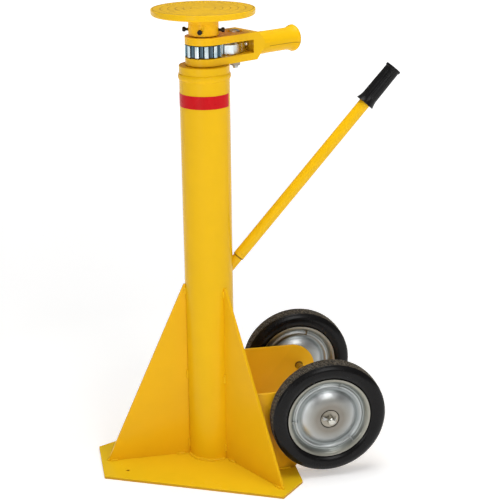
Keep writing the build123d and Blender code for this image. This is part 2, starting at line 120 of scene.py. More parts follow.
def vector_node(tree, operation, a, b=None):
    node = tree.nodes.new("ShaderNodeVectorMath")
    node.operation = operation
    tree.links.new(a, node.inputs[0])
    if b is not None:
        node.inputs[1].default_value = b
    return node


def mix_colour(tree, factor, a, b, blend="MIX"):
    node = tree.nodes.new("ShaderNodeMix")
    node.data_type = "RGBA"
    node.blend_type = blend
    feed(tree, node.inputs["Factor"], factor)
    feed(tree, node.inputs[MIX_A], a)
    feed(tree, node.inputs[MIX_B], b)
    return node.outputs[MIX_OUT]


def shade(tree, value, low, high, a, b):
    """Colour a where the value is low, running to colour b where it is high."""
    return mix_colour(tree, remap(tree, value, low, high, 0.0, 1.0), a, b)


def scaled(colour, k):
    return tuple(min(1.0, c * k) for c in colour)


def bump(tree, shader, *layers):
    """Chains (height, strength, distance in mm) layers of relief into the shader's normal."""
    normal = None
    for height, strength, distance in layers:
        node = tree.nodes.new("ShaderNodeBump")
        node.inputs["Strength"].default_value = strength
        node.inputs["Distance"].default_value = distance * MM
        tree.links.new(height, node.inputs["Height"])
        if normal:
            tree.links.new(normal, node.inputs["Normal"])
        normal = node.outputs["Normal"]
    tree.links.new(normal, shader.inputs["Normal"])


def edges_of(tree, strength):
    """The strength on convex edges, 0 elsewhere."""
    geometry = tree.nodes.new("ShaderNodeNewGeometry")
    convex = remap(tree, geometry.outputs["Pointiness"], 0.52, 0.60, 0.0, 1.0)
    return math_node(tree, "MULTIPLY", convex, strength)


def radius_of(tree, coords, axes):
    """Distance from the object's own axis, in metres, by the two axes across it."""
    parts = tree.nodes.new("ShaderNodeSeparateXYZ")
    tree.links.new(coords, parts.inputs["Vector"])
    squares = [math_node(tree, "MULTIPLY", parts.outputs[i], parts.outputs[i]) for i in axes]
    return math_node(tree, "SQRT", math_node(tree, "ADD", *squares))


def near(tree, coords, spot):
    """A mask round a place: spot is (point in mm, weights or direction, low, high, strength).

    With three weights it is the weighted distance from the point. With a Vector it is the
    distance from the plane through the point that the vector is normal to.
    """
    point, shape, low, high, strength = spot
    away = vector_node(tree, "SUBTRACT", coords, tuple(c * MM for c in point)).outputs["Vector"]
    if isinstance(shape, Vector):
        dot = vector_node(tree, "DOT_PRODUCT", away, tuple(shape)).outputs["Value"]
        distance = math_node(tree, "ABSOLUTE", dot)
    else:
        weighted = vector_node(tree, "MULTIPLY", away, shape).outputs["Vector"]
        distance = vector_node(tree, "LENGTH", weighted).outputs["Value"]
    return remap(tree, distance, low * MM, high * MM, strength, 0.0)


def ring_dirt(tree, coords, first, step, level):
    """A mask for the grooves of a face: rings at first, first + step and so on, in mm."""
    start = (first - step / 2) * MM
    radius = radius_of(tree, coords, ACROSS_Z)
    place = math_node(tree, "MODULO", math_node(tree, "SUBTRACT", radius, start), step * MM)
    off = math_node(tree, "ABSOLUTE", math_node(tree, "SUBTRACT", place, step / 2 * MM))
    groove = remap(tree, off, 0.5 * MM, 1.6 * MM, 0.5, 0.0)
    face = near(tree, coords, ((0, 0, level), UP, 1.2, 1.8, 1.0))
    return math_node(tree, "MULTIPLY", groove, face)


# ---- materials -----------------------------------------------------------------------------
# The colour of dirt and weld soot, also used for painted shade in joints and round holes.
DIRT_AND_SHADE = (0.16, 0.055, 0.006)


def enamel(name, base, dirt_and_shade_spots=(), dirt_and_shade_colour=DIRT_AND_SHADE, gloss=0.11, rough=0.20, rings=None, relief=1.0):
    """Thick sprayed enamel: faint orange peel, soft pooling of the colour, thin edges.

    The spots listed after the base colour are places, as near() takes them, darkened by dirt or soot at some and
    by painted shade at others.
    rings is (first radius, step, height) in mm, for dirt in the grooves of a face.
    """
    mat, tree, shader, coords = new_material(name)
    cloud = noise(tree, coords, 9.0, 4.0)
    colour = shade(tree, cloud, 0.35, 0.65, scaled(base, 0.97), scaled(base, 1.02))
    speck = noise(tree, coords, 160.0, 2.0)
    darker = (base[0] * 0.86, base[1] * 0.78, base[2])
    colour = mix_colour(tree, remap(tree, speck, 0.66, 0.80, 0.0, 0.12), colour, darker)
    colour = mix_colour(tree, edges_of(tree, 0.35), colour, scaled(base, 1.12))
    for spot in dirt_and_shade_spots:
        colour = mix_colour(tree, near(tree, coords, spot), colour, dirt_and_shade_colour)
    if rings:
        colour = mix_colour(tree, ring_dirt(tree, coords, *rings), colour, dirt_and_shade_colour)
    tree.links.new(colour, shader.inputs["Base Color"])
    tree.links.new(remap(tree, cloud, 0.3, 0.7, rough, rough * 1.4), shader.inputs["Roughness"])
    shader.inputs["Specular IOR Level"].default_value = gloss
    peel = noise(tree, coords, 420.0, 2.0)
    sag = noise(tree, coords, 45.0, 2.0)
    bump(tree, shader, (sag, 0.05 * relief, 0.5), (peel, 0.03 * relief, 0.08))
    return mat


def metal(name, base, roughness, stain=None, brushed=None, relief=0.1, bands=None):
    """Plated or machined steel, with faint stains and, if asked, a brushed or turned lay.

    bands is (axes, [(radius in mm, colour), ...]): tone by radius, used to paint reflection and shade onto the
    plating.
    """
    mat, tree, shader, coords = new_material(name)
    cloud = noise(tree, coords, 30.0, 5.0, 0.6)
    colour = shade(tree, cloud, 0.38, 0.68, base, stain or scaled(base, 0.82))
    if bands:
        axes, stops = bands
        radius = radius_of(tree, coords, axes)
        tone = stops[0][1]
        for (low, _), (high, following) in zip(stops, stops[1:]):
            tone = shade(tree, radius, low * MM, high * MM, tone, following)
        colour = mix_colour(tree, 1.0, colour, tone, "MULTIPLY")
    else:
        colour = mix_colour(tree, edges_of(tree, 0.5), colour, scaled(base, 1.25))
    rough = remap(tree, cloud, 0.3, 0.7, roughness * 0.8, roughness * 1.3)
    tree.links.new(colour, shader.inputs["Base Color"])
    tree.links.new(rough, shader.inputs["Roughness"])
    shader.inputs["Metallic"].default_value = 1.0
    lay = noise(tree, coords, 260.0, 3.0, 0.6, brushed)
    bump(tree, shader, (lay, relief, 0.15))
    return mat


def rubber(name, base, roughness, dust=None):
    """Moulded rubber or nylon.

    dust is (colour, low, high): it settles past those radii from the wheel's axle, in mm.
    """
    mat, tree, shader, coords = new_material(name)
    cloud = noise(tree, coords, 40.0, 5.0, 0.65)
    colour = shade(tree, cloud, 0.35, 0.7, base, scaled(base, 1.7))
    rough = remap(tree, cloud, 0.3, 0.7, roughness * 0.85, roughness * 1.2)
    if dust:
        dust_colour, low, high = dust
        outside = remap(tree, radius_of(tree, coords, ACROSS_X), low * MM, high * MM, 0.0, 1.0)
        grain = remap(tree, noise(tree, coords, 300.0, 4.0, 0.7), 0.4, 0.62, 0.15, 1.0)
        colour = mix_colour(tree, math_node(tree, "MULTIPLY", outside, grain), colour, dust_colour)
    tree.links.new(colour, shader.inputs["Base Color"])
    tree.links.new(rough, shader.inputs["Roughness"])
    shader.inputs["Specular IOR Level"].default_value = 0.18
    bump(tree, shader, (noise(tree, coords, 500.0, 3.0), 0.08, 0.10))
    return mat


def reflective_tape(name, base):
    """Retro-reflective sheet: a fine cell pattern under a clear gloss face."""
    mat, tree, shader, coords = new_material(name)
    cells = tree.nodes.new("ShaderNodeTexVoronoi")
    cells.feature = "DISTANCE_TO_EDGE"
    cells.inputs["Scale"].default_value = 420.0
    cells.inputs["Randomness"].default_value = 0.12
    tree.links.new(coords, cells.inputs["Vector"])
    border = remap(tree, cells.outputs["Distance"], 0.02, 0.10, 1.0, 0.0)
    cloud = noise(tree, coords, 18.0, 3.0)
    colour = shade(tree, cloud, 0.35, 0.65, scaled(base, 0.93), scaled(base, 1.05))
    colour = mix_colour(tree, math_node(tree, "MULTIPLY", border, 0.3), colour, scaled(base, 0.7))
    tree.links.new(colour, shader.inputs["Base Color"])
    tree.links.new(remap(tree, cloud, 0.3, 0.7, 0.24, 0.34), shader.inputs["Roughness"])
    shader.inputs["Specular IOR Level"].default_value = 0.1
    bump(tree, shader, (border, 0.08, 0.05))
    return mat


def paper(name):
    """Pale paper that glows a little, for the floor and the surround."""
    mat, tree, shader, coords = new_material(name)
    pale, paler = (0.93, 0.93, 0.93), (0.95, 0.95, 0.95)
    colour = mix_colour(tree, noise(tree, coords, 3.0), pale, paler)
    tree.links.new(colour, shader.inputs["Base Color"])
    shader.inputs["Roughness"].default_value = 0.9
    shader.inputs["Emission Color"].default_value = (1, 1, 1, 1)
    return mat, tree, shader, coords


YELLOW = (0.860, 0.500, 0.006)
PLATING = (1.0, 1.0, 1.0)  # where the tone comes from bands
TREAD_DUST = ((0.165, 0.138, 0.100), 124.3, 125.2)

# one material for each slot of the record
mats = {
    "yellow_enamel": enamel("yellow_enamel", YELLOW),
    "red_reflective": reflective_tape("red_reflective", (0.62, 0.006, 0.011)),
    "zinc_plate": metal("zinc_plate", (0.66, 0.68, 0.69), 0.26, (0.58, 0.60, 0.60)),
    "bare_steel": metal("bare_steel", (0.52, 0.52, 0.52), 0.34, (0.40, 0.37, 0.34), (1, 1, 30)),
    "black_oxide": metal("black_oxide", (0.022, 0.021, 0.020), 0.38, (0.045, 0.036, 0.030)),
    "tyre_rubber": rubber("tyre_rubber", (0.0036, 0.0033, 0.0034), 0.25, TREAD_DUST),
    "grip_rubber": rubber("grip_rubber", (0.0042, 0.0042, 0.0046), 0.28),
    "nylon": rubber("nylon", (0.62, 0.57, 0.46), 0.5),
    "bronze": metal("bronze", (0.60, 0.42, 0.20), 0.35),
}

# finishes of single nodes that differ from their slot's; those of the discs, gear, axle and hubs also paint
# reflection or shade
# The discs' tone by radius is painted reflection: darker over the centre and in the troughs, lighter on the dome's
# shoulder and the ridges as painted highlights.
DISC_PAINTED_REFLECTION = [
    (30, (0.25, 0.23, 0.20)),
    (44, (0.36, 0.36, 0.34)),
    (57, (0.52, 0.54, 0.55)),
    (62, (0.22, 0.24, 0.24)),
    (68, (0.30, 0.32, 0.32)),
    (73, (0.46, 0.48, 0.48)),
    (78, (0.32, 0.34, 0.33)),
    (85, (0.24, 0.24, 0.21)),
    (90, (0.38, 0.37, 0.32)),
]
# The gear is near black in its flutes, painted shade with some grease, and pale zinc on its lands.
GEAR_FLUTE_SHADE = [(37.4, (0.07, 0.10, 0.12)), (38.6, (0.66, 0.72, 0.73))]
# The axle is pale near its centre line and darker towards its surface: painted dark reflection on the rounded
# sides of its ends.
AXLE_REFLECTION_BANDS = [(7.6, (0.62, 0.61, 0.56)), (8.8, (0.16, 0.15, 0.11))]
disc_zinc_painted_reflection = metal("disc_zinc_painted_reflection", PLATING, 0.35, (0.94, 0.95, 0.94), relief=0.004, bands=(ACROSS_X, DISC_PAINTED_REFLECTION))
gear_zinc_flute_shade = metal("gear_zinc_flute_shade", PLATING, 0.16, (0.45, 0.62, 0.68), (1, 1, 0.08), bands=(ACROSS_Z, GEAR_FLUTE_SHADE))
pawl_zinc = metal("pawl_zinc", (0.80, 0.90, 0.93), 0.30, (0.70, 0.78, 0.80), relief=0.12)
# Near black: grease, and painted shade in the hubs' recess behind the discs' holes. The pawl bolt's washer uses it
# too.
dark_steel_and_hub_shade = metal("dark_steel_and_hub_shade", (0.045, 0.040, 0.034), 0.5, (0.09, 0.08, 0.06))
washer_zinc = metal("washer_zinc", (0.36, 0.33, 0.28), 0.38, (0.26, 0.24, 0.20), relief=0.15)
axle_zinc_painted_reflection = metal("axle_zinc_painted_reflection", PLATING, 0.24, (0.88, 0.88, 0.86), bands=(ACROSS_X, AXLE_REFLECTION_BANDS))


# ---- mesh helpers, all in millimetres ------------------------------------------------------
def stand_in(node, bm, mat=None, smooth=35.0, at=None):
    """Turns a bmesh into the piece that is shown in a CAD node's place, on the node's body.

    Edges sharper than smooth, in degrees, stay sharp. at places a shape made round its own axis.
    """
    bmesh.ops.recalc_face_normals(bm, faces=bm.faces)
    bmesh.ops.scale(bm, vec=(MM, MM, MM), verts=bm.verts)
    mesh = bpy.data.meshes.new(node + ".look")
    bm.to_mesh(mesh)
    bm.free()
    mesh.polygons.foreach_set("use_smooth", [True] * len(mesh.polygons))
    mesh.set_sharp_from_angle(angle=math.radians(smooth))
    mesh.materials.append(mat or mats[node_slot[node]])
    piece = bpy.data.objects.new(node + ".look", mesh)
    bpy.context.scene.collection.objects.link(piece)
    if at is not None:
        piece.matrix_world = at
    weighted = piece.modifiers.new("weighted", "WEIGHTED_NORMAL")
    weighted.keep_sharp = True
    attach(piece, node_body[node])
    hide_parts(node)
    return piece


def refined(node, width=0.7, segments=2, mat=None, angle=28.0):
    """A copy of a CAD node, with the edges that turn by more than the angle rounded off."""
    bm = bmesh.new()
    bm.from_mesh(nodes[node].data)
    bmesh.ops.scale(bm, vec=(1000, 1000, 1000), verts=bm.verts)
    bmesh.ops.remove_doubles(bm, verts=bm.verts, dist=0.002)
    bmesh.ops.dissolve_limit(bm, angle_limit=math.radians(0.6), verts=bm.verts, edges=bm.edges)
    limit = math.radians(angle)
    sharp = [e for e in bm.edges if len(e.link_faces) == 2 and e.calc_face_angle(0) > limit]
    bmesh.ops.bevel(
        bm, geom=sharp, offset=width, segments=segments, profile=0.5, affect="EDGES", clamp_overlap=True
    )
    return stand_in(node, bm, mat)


def box_mm(node):
    lo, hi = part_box(node)
    return lo / MM, hi / MM


def levels(node):
    """A node's lowest and highest Z."""
    lo, hi = box_mm(node)
    return lo.z, hi.z


def place(x, y, z):
    """A placement in metres, from millimetres, for stand_in()."""
    return Matrix.Translation((x * MM, y * MM, z * MM))


def shift(x, y, z):
    return Matrix.Translation((x, y, z))


def turn(degrees, axis):
    return Matrix.Rotation(math.radians(degrees), 4, axis)


def moved(bm, matrix):
    bmesh.ops.transform(bm, matrix=matrix, verts=bm.verts)
    return bm


def join(*meshes):
    """Several bmeshes as one."""
    whole = bmesh.new()
    for bm in meshes:
        mesh = bpy.data.meshes.new("join")
        bm.to_mesh(mesh)
        bm.free()
        whole.from_mesh(mesh)
        bpy.data.meshes.remove(mesh)
    return whole


def rounded(points, radius, steps=4):
    """A closed profile with every corner rounded. A point may give its own radius third."""
    out = []
    count = len(points)
    for i, point in enumerate(points):
        here = Vector(point[:2])
        before = Vector(points[i - 1][:2]) - here
        after = Vector(points[(i + 1) % count][:2]) - here
        r = point[2] if len(point) > 2 else radius
        corner = before.angle(after)
        if r <= 0 or corner > math.radians(176):
            out.append(tuple(here))
            continue
        reach = min(r / math.tan(corner / 2), before.length * 0.45, after.length * 0.45)
        start = here + before.normalized() * reach
        end = here + after.normalized() * reach
        for k in range(steps + 1):
            t = k / steps
            out.append(tuple(start.lerp(here, t).lerp(here.lerp(end, t), t)))
    return out


def arc_points(start, middle, end, steps):
    """Points on the circle through three points, both ends included."""
    (ax, ay), (bx, by), (cx, cy) = start, middle, end
    a2, b2, c2 = ax * ax + ay * ay, bx * bx + by * by, cx * cx + cy * cy
    d = 2 * (ax * (by - cy) + bx * (cy - ay) + cx * (ay - by))
    ux = (a2 * (by - cy) + b2 * (cy - ay) + c2 * (ay - by)) / d
    uy = (a2 * (cx - bx) + b2 * (ax - cx) + c2 * (bx - ax)) / d
    radius = math.hypot(ax - ux, ay - uy)
    from_angle = math.atan2(ay - uy, ax - ux)
    by_angle = (math.atan2(by - uy, bx - ux) - from_angle) % (2 * math.pi)
    sweep = (math.atan2(cy - uy, cx - ux) - from_angle) % (2 * math.pi)
    if by_angle > sweep:
        sweep -= 2 * math.pi
    angles = [from_angle + sweep * k / steps for k in range(steps + 1)]
    return [(ux + radius * math.cos(a), uy + radius * math.sin(a)) for a in angles]


def lathe(outline, segments, shape=None):
    """A bmesh turned about Z from a closed outline of (radius, z) points.

    A radius of 0 gives a single point. shape(angle, radius, z) may move each of the others.
    """
    bm = bmesh.new()
    rings = []
    for radius, z in outline:
        if radius < 1e-6:
            rings.append([bm.verts.new((0, 0, z))])
            continue
        ring = []
        for k in range(segments):
            angle = 2 * math.pi * k / segments
            r, h = shape(angle, radius, z) if shape else (radius, z)
            ring.append(bm.verts.new((r * math.cos(angle), r * math.sin(angle), h)))
        rings.append(ring)
    for a, b in zip(rings, rings[1:] + rings[:1]):
        if len(a) == 1 and len(b) == 1:
            continue
        for k in range(segments):
            n = (k + 1) % segments
            if len(a) == 1:
                bm.faces.new((a[0], b[k], b[n]))
            elif len(b) == 1:
                bm.faces.new((a[k], b[0], a[n]))
            else:
                bm.faces.new((a[k], b[k], b[n], a[n]))
    return bm


def ring_of(bm, centre, u, v, radius):
    """A ring of twelve vertices round a centre, in the plane of the directions u and v."""
    angles = [2 * math.pi * j / 12 for j in range(12)]
    return [bm.verts.new(centre + (u * math.cos(a) + v * math.sin(a)) * radius) for a in angles]


def skin(bm, rings):
    """Closes a row of rings into a tube with two flat ends."""
    for a, b in zip(rings, rings[1:]):
        for j in range(len(a)):
            n = (j + 1) % len(a)
            bm.faces.new((a[j], a[n], b[n], b[j]))
    bm.faces.new(rings[0][::-1])
    bm.faces.new(rings[-1])


def thread(radius, depth, lead, low, high, segments):
    """The helical surface of a thread between two heights, open to the core inside it."""
    bm = bmesh.new()
    core = radius - depth
    profile = [(core, 0.0), (core, 0.36), (radius, 0.52), (radius, 0.84)]
    turns = int((high - low) / lead)
    rows = []
    for k in range(turns * segments + 1):
        angle = 2 * math.pi * k / segments
        height = low + lead * k / segments
        row = []
        for r, part in profile:
            z = min(high, height + part * lead)
            row.append(bm.verts.new((r * math.cos(angle), r * math.sin(angle), z)))
        rows.append(row)
    for k in range(len(rows) - 1):
        for j in range(len(profile) - 1):
            bm.faces.new((rows[k][j], rows[k + 1][j], rows[k + 1][j + 1], rows[k][j + 1]))
        if k + 1 + segments < len(rows):
            above, above_next = rows[k + segments], rows[k + 1 + segments]
            bm.faces.new((rows[k][-1], rows[k + 1][-1], above_next[0], above[0]))
    return bm


def spread(points, pitch):
    """Evenly spaced points along a path, four to a pitch and both ends included."""
    path = [Vector(p) for p in points]
    length = sum((b - a).length for a, b in zip(path, path[1:]))
    count = max(6, int(length / pitch * 4))
    spots = []
    for k in range(count + 1):
        want = length * k / count
        for a, b in zip(path, path[1:]):
            run = (b - a).length
            if want <= run or b is path[-1]:
                spots.append(a.lerp(b, min(1.0, want / run)))
                break
            want -= run
    return spots


def ahead_at(spots, k):
    """The direction in which a row of points runs at its point k."""
    return (spots[min(k + 1, len(spots) - 1)] - spots[max(k - 1, 0)]).normalized()


def bead(points, radius, seed, pitch=2.6):
    """A weld bead along a path: overlapping ripples, a little uneven, closed at both ends."""
    rng = random.Random(seed)
    spots = spread(points, pitch)
    last = len(spots) - 1
    bm = bmesh.new()
    rings = []
    for k, spot in enumerate(spots):
        ahead = ahead_at(spots, k)
        leaning = Vector((0.3, 0.2, 1)) if abs(ahead.z) < 0.8 else Vector((1, 0.2, 0))
        side = ahead.cross(leaning).normalized()
        up = side.cross(ahead).normalized()
        ripple = 1.0 + 0.16 * abs(math.sin(math.pi * k / 4)) + rng.uniform(-0.05, 0.05)
        ends = min(1.0, 0.45 + 0.55 * min(k, last - k) / 3)
        rings.append(ring_of(bm, spot, side, up, radius * ripple * ends * 0.92))
    skin(bm, rings)
    return bm


def hexagon(flat, angle):
    """How far a hexagon's outline is from its centre; flat is half its width across flats."""
    sector = (angle + math.pi / 6) % (math.pi / 3) - math.pi / 6
    return flat / math.cos(sector)


# ---- sizes read from the frame -------------------------------------------------------------
column_lo, column_hi = box_mm("column_tube")
axle_lo, axle_hi = box_mm("axle")
COLUMN_R = column_hi.x
PLATE = column_lo.z  # the column stands on the base plate's top face
AXLE_R = (axle_hi.z - axle_lo.z) / 2
wheel_at = Vector(joints["wheel_right_spin"]["pos_m"]) / MM
pawl_at = Vector(joints["pawl_flip"]["pos_m"]) / MM
lever_axis = Vector(joints["plunger_press"]["axis"])
YOKE_ANGLE = math.degrees(math.atan2(-lever_axis.x, lever_axis.y))


# ---- column --------------------------------------------------------------------------------
WALL = 6.35


def make_column():
    inside, low, high = COLUMN_R - WALL, column_lo.z, column_hi.z
    tube = [(inside, low), (COLUMN_R, low), (COLUMN_R, high), (inside, high)]
    stand_in("column_tube", lathe(rounded(tube, 0.4), 160))

    inside = box_mm("lift_nut")[1].x
    low, high = levels("column_collar")
    collar = [(inside, low), (COLUMN_R, low, 0.3), (COLUMN_R, high, 0.8), (inside, high, 0.5)]
    stand_in("column_collar", lathe(rounded(collar, 0.4, 5), 160))


def make_collar_weld():
    """A half-round bead with long ripples, sunk a little into the column."""
    lo, hi = box_mm("collar_weld")
    middle, half = (lo.z + hi.z) / 2, (hi.z - lo.z) / 2
    crown = hi.x - COLUMN_R
    inside = COLUMN_R - 0.6

    def rippled(angle, radius, z):
        rise = (radius - COLUMN_R) / crown
        ripple = 0.20 * math.sin(angle * 74 + 1.5 * math.sin(z * 0.6)) + 0.12 * math.sin(angle * 9 + 1)
        swell = (radius - COLUMN_R) * (0.86 + 0.5 * ripple * rise)
        return COLUMN_R + swell, z + 0.5 * math.sin(angle * 5) * rise

    angles = [math.radians(-88 + 176 * k / 14) for k in range(15)]
    outline = [(COLUMN_R + crown * math.cos(a) ** 1.1, middle + half * math.sin(a)) for a in angles]
    outline += [(inside, hi.z - 0.2), (inside, lo.z + 0.2)]
    stand_in("collar_weld", lathe(outline, 444, rippled), smooth=60)


# ---- base, gussets, brackets and their welds -----------------------------------------------
GUSSET_HEADINGS = (270, 30, 150)
GUSSET_HALF = 3.35  # half a gusset's thickness
GUSSET_TOE = 235.4  # where a gusset ends on the base
COLUMN_STITCHES = ((393, 409), (191, 213), (23, 43))
BASE_STITCHES = ((214, 233), (62, 83))
GUSSET_BEAD, FOOT_BEAD, BRACKET_BEAD = 3.182, 4.3, 3.2
BRACKET_FACES = (114.0, 121.6)  # X of a bracket's two welds
BRACKET_FOOT = (86, 154)  # Y of their ends
BRACKET_HEEL = (118, 157, PLATE)


def make_plates():
    """Base, gussets and brackets, with painted shade on the base's lower edge and round the brackets' axle holes,
    and weld soot at the brackets' heels.
    """
    # Painted shade on the base plate's lower edge, and a painted shadow ring round the axle on each bracket. The
    # heel mark is weld soot.
    base_edge_shade = ((0, 0, 0), UP, PLATE - 1.4, PLATE - 0.2, 0.85)
    axle_hole_shadow = ((0, wheel_at.y, wheel_at.z), (0, 1, 1), AXLE_R + 1.0, AXLE_R + 2.6, 0.9)
    heel = (BRACKET_HEEL, (1, 1, 1), 5, 20, 0.55)
    # Lit and shaded copies of the yellow: the base's is yellower for its painted top light, the brackets' and
    # gussets' oranger for painted bounced shade.
    base_lit_enamel = enamel("base_lit_enamel", (0.875, 0.562, 0.012), [base_edge_shade], (0.52, 0.26, 0.008))
    bracket_shaded_enamel = enamel("bracket_shaded_enamel", (0.900, 0.480, 0.014), [axle_hole_shadow, heel])
    gusset_shaded_enamel = enamel("gusset_shaded_enamel", (0.860, 0.478, 0.008))
    refined("base_plate", 0.5, 3, base_lit_enamel)
    for which in ("front", "left", "right"):
        refined("gusset_" + which, 0.7, 3, gusset_shaded_enamel)
    for which in ("left", "right"):
        refined("wheel_bracket_" + which, 0.7, 3, bracket_shaded_enamel)


def gusset_beads(heading, seed):
    """The stitch welds of one gusset: up the column, out along the base and round its toe."""
    side_at = GUSSET_HALF + 0.6
    column_at = math.sqrt(COLUMN_R ** 2 - GUSSET_HALF ** 2) + 0.8
    stitches = []
    for y in (-side_at, side_at):
        stitches += [[(column_at, y, low), (column_at, y, high)] for low, high in COLUMN_STITCHES]
        stitches += [[(start, y, PLATE + 0.8), (end, y, PLATE + 0.8)] for start, end in BASE_STITCHES]
    stitches.append([
        (GUSSET_TOE, -GUSSET_HALF, PLATE + 0.9),
        (GUSSET_TOE + 1.2, 0, PLATE + 1.0),
        (GUSSET_TOE, GUSSET_HALF, PLATE + 0.9),
    ])
    beads = [bead(path, GUSSET_BEAD, seed + i) for i, path in enumerate(stitches)]
    return moved(join(*beads), turn(heading, "Z"))


def foot_bead(heading, seed):
    """The weld round the column's foot, from one gusset to the next."""
    reach = COLUMN_R + 0.9
    angles = [math.radians(heading + 9 + 102 * k / 40) for k in range(41)]
    path = [(reach * math.cos(a), reach * math.sin(a), PLATE + 0.9) for a in angles]
    return bead(path, FOOT_BEAD, seed, pitch=3.0)


def make_welds():
    gussets = [gusset_beads(heading, 20 * i) for i, heading in enumerate(GUSSET_HEADINGS)]
    stand_in("gusset_welds", join(*gussets), smooth=70)
    foot = [foot_bead(heading, 100 + i) for i, heading in enumerate(sorted(GUSSET_HEADINGS))]
    stand_in("foot_weld", join(*foot), smooth=70)
    feet = []
    for side in (-1, 1):
        for x in BRACKET_FACES:
            path = [(side * x, y, PLATE + 0.8) for y in BRACKET_FOOT]
            feet.append(bead(path, BRACKET_BEAD, int(x) + side))
    stand_in("bracket_welds", join(*feet), smooth=70)


# ---- spin top ------------------------------------------------------------------------------
PAD_THICK = 12.7
HUB_R = 31.0
HUB_BORE_R, HUB_BORE_TOP = 15.05, 986.0
HUB_LINE = 971.2  # a shallow line turned round the hub, above its screws
RING_FIRST, RING_STEP, RING_COUNT = 25, 15.3, 5
RING_SECTION = ((1.9, 0), (0.9, 0.65), (0, 0.8), (-0.9, 0.65), (-1.9, 0))
FIRST_SCREW = -20  # degrees: the heading of the hub's first screw
SHANK_R = 3.0
SCREW_TIP, SCREW_HEAD, SCREW_END = 12.8, 37.0, 43.0  # distances from the hub's axis


def pad_outline(rim, bottom, top):
    """The pad and its hub: down the bore, out round the hub and the rim, and in over the top."""
    under = top - PAD_THICK
    hub = [(0, HUB_BORE_TOP), (HUB_BORE_R, HUB_BORE_TOP), (HUB_BORE_R, bottom + 0.6), (15.8, bottom)]
    hub += [(HUB_R - 1.0, bottom), (HUB_R - 0.3, bottom + 0.3), (HUB_R, bottom + 1.0)]
    hub += [(HUB_R, HUB_LINE), (HUB_R - 0.5, HUB_LINE + 0.5)]
    hub += [(HUB_R - 0.5, HUB_LINE + 1.2), (HUB_R, HUB_LINE + 1.7)]
    flare = arc_points((HUB_R, 976), (HUB_R + 1.3, 984.5), (HUB_R + 5.0, under), 8)
    flare += [(HUB_R + 6.5, under + 0.02), (70, under), (rim - 5.2, under)]
    edge = arc_points((rim - 5, under), (rim - 1.35, under + 1.25), (rim, under + 4), 8)
    edge += arc_points((rim, top - 1.8), (rim - 0.5, top - 0.5), (rim - 1.8, top), 5)
    face = []
    for ring in reversed(range(RING_COUNT)):
        middle = RING_FIRST + RING_STEP * ring
        face += [(middle + off, top - depth) for off, depth in RING_SECTION]
    centre_mark = [(3.2, top), (2.6, top - 0.3), (0.6, top - 1.6), (0, top - 1.7)]
    return hub + flare + edge + face + centre_mark


def socket_screw(shank, tip, head, end):
    """A socket-head cap screw along +Z: threaded shank, knurled head, hexagon socket."""
    core, head_r, socket_r = shank - 0.45, 5.0, 2.51

    def cut(angle, radius, z):
        if abs(radius - socket_r) < 0.02:
            return hexagon(2.5, angle), z
        knurled = radius > 4.4 and head + 0.7 < z < end - 0.9
        if knurled and int(angle * 36 / math.pi + 0.5) % 2:
            return radius - 0.22, z
        return radius, z

    pin = [(0, tip), (core - 0.15, tip), (core, tip + 0.6), (core, head + 0.4), (0, head + 0.4)]
    worm = thread(shank, 0.55, 1.0, tip + 0.8, head, 20)
    outline = [(0, head), (head_r - 0.5, head), (head_r, head + 0.5), (head_r, head + 0.8)]
    outline += [(head_r, end - 1.0), (head_r, end - 0.7), (head_r - 0.7, end), (3.3, end)]
    outline += [(socket_r, end - 0.3), (socket_r, end - 2.9), (0, end - 3.3)]
    return join(lathe(pin, 24), worm, lathe(outline, 72, cut))


def make_spin_top():
    lo, hi = box_mm("spin_top_pad")
    pad_enamel = enamel("pad_enamel", YELLOW, rings=(RING_FIRST, RING_STEP, hi.z))
    stand_in("spin_top_pad", lathe(pad_outline(hi.x, lo.z, hi.z), 240), pad_enamel, 40)

    level = sum(levels("hub_screws")) / 2
    screws = []
    for quarter in range(4):
        screw = socket_screw(SHANK_R, SCREW_TIP, SCREW_HEAD, SCREW_END)
        aim = turn(FIRST_SCREW + 90 * quarter, "Z") @ turn(90, "Y")
        screws.append(moved(screw, shift(0, 0, level) @ aim))
    stand_in("hub_screws", join(*screws), smooth=40)


# ---- lift screw and gear -------------------------------------------------------------------
SCREW_R, LEAD, THREAD_DEPTH = 19.0, 6.35, 2.9
TAP_R, TAP_DEPTH = 5.1, 26
SEAT_R, SEAT_TOP = 17.0, 948.0
JOURNAL_R, JOURNAL_TOP = 15.0, 983.0
NECK_R, NECK_LOW, NECK_HIGH = 12.0, 955.5, 964.5


def make_lift_screw():
    """The spindle: tapped foot, thread, the gear's seat, and the journal with its neck."""
    foot, _ = levels("lift_screw")
    gear, _ = levels("ratchet_gear")
    core, collar, plain = SCREW_R - 3.2, SCREW_R - 0.4, SCREW_R - 0.2
    outline = [(0, foot + TAP_DEPTH), (TAP_R, foot + TAP_DEPTH), (TAP_R, foot), (SCREW_R - 2.4, foot)]
    outline += [(collar, foot + 2), (collar, foot + 5), (core, foot + 7), (core, gear - 26)]
    outline += [(plain, gear - 22), (plain, gear), (SEAT_R, gear), (SEAT_R, SEAT_TOP)]
    outline += [(JOURNAL_R, SEAT_TOP), (JOURNAL_R, NECK_LOW), (NECK_R, NECK_LOW)]
    outline += [(NECK_R, NECK_HIGH), (JOURNAL_R, NECK_HIGH), (JOURNAL_R, JOURNAL_TOP), (0, JOURNAL_TOP)]
    worm = thread(plain, THREAD_DEPTH, LEAD, foot + 4, gear - 22, 48)
    stand_in("lift_screw", join(lathe(rounded(outline, 0.3, 2), 72), worm))


